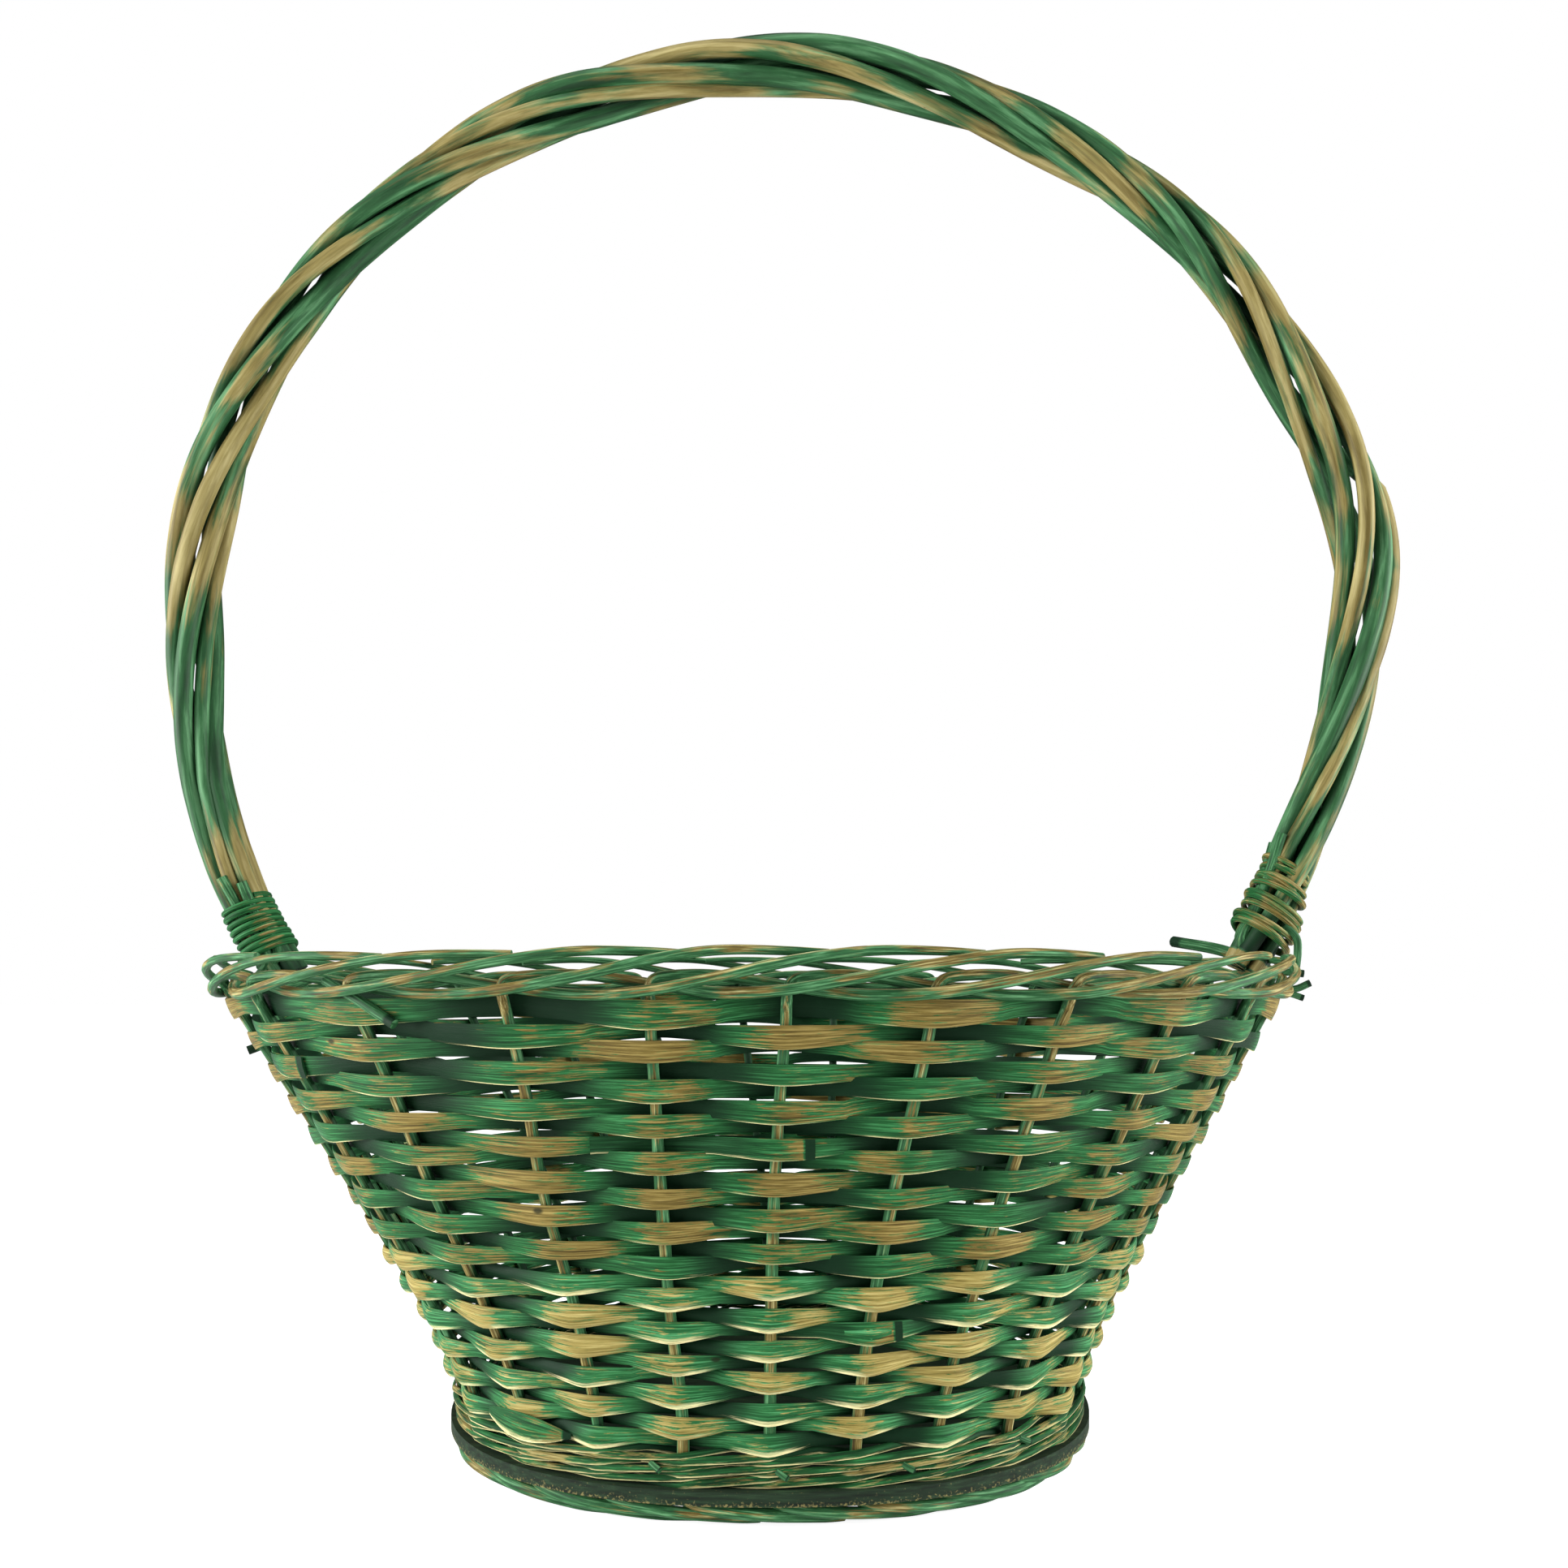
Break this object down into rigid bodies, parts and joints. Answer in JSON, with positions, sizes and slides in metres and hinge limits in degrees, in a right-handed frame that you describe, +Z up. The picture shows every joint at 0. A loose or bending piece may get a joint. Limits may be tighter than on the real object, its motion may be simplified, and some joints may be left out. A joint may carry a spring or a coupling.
{
  "type": "woven market basket",
  "caption": "Oval willow basket with flared woven walls, a plaited foot and rim on a flat board, and a tall twisted hoop handle.",
  "frame": {"origin": "on the floor under the middle of the basket", "axes": "+X along the long side and the handle's hoop, +Y across it towards the back, +Z up"},
  "size_m": [0.4086, 0.2234, 0.466],
  "materials": {
    "board": "dark green stained board, matt",
    "rods": "green painted willow with gold rubbed highlights, satin",
    "strips": "green painted split willow with gold rubbed patches, satin",
    "handle": "green painted willow rods with gold brushed over, satin",
    "binding": "gold brushed split willow, satin"
  },
  "bodies": {
    "root": {"base_board": "board", "wale_rod_1": "rods", "wale_rod_2": "rods", "wale_rod_3": "rods", "weft_row_01": "strips", "weft_row_02": "strips", "weft_row_03": "strips", "weft_row_04": "strips", "weft_row_05": "strips", "weft_row_06": "strips", "weft_row_07": "strips", "weft_row_08": "strips", "weft_row_09": "strips", "weft_row_10": "strips", "weft_row_11": "strips", "weft_row_12": "strips", "weft_row_13": "strips", "weft_row_14": "strips", "weft_row_15": "strips", "weft_row_16": "strips", "weft_row_17": "strips", "weft_row_18": "strips", "weft_row_19": "strips", "weft_row_20": "strips", "weft_row_21": "strips", "weft_row_22": "strips", "weft_row_23": "strips", "weft_row_24": "strips", "weft_row_25": "strips", "weft_row_26": "strips", "stakes_01": "rods", "stakes_02": "rods", "stakes_03": "rods", "stakes_04": "rods", "stakes_05": "rods", "stakes_06": "rods", "stakes_07": "rods", "stakes_08": "rods", "stakes_09": "rods", "stakes_10": "rods", "stakes_11": "rods", "stakes_12": "rods", "handle_rods_1": "handle", "handle_rods_2": "handle", "handle_rods_3": "handle", "handle_liners_right": "rods", "handle_liners_left": "rods", "binding_right": "binding", "binding_left": "binding"}
  },
  "joints": []
}
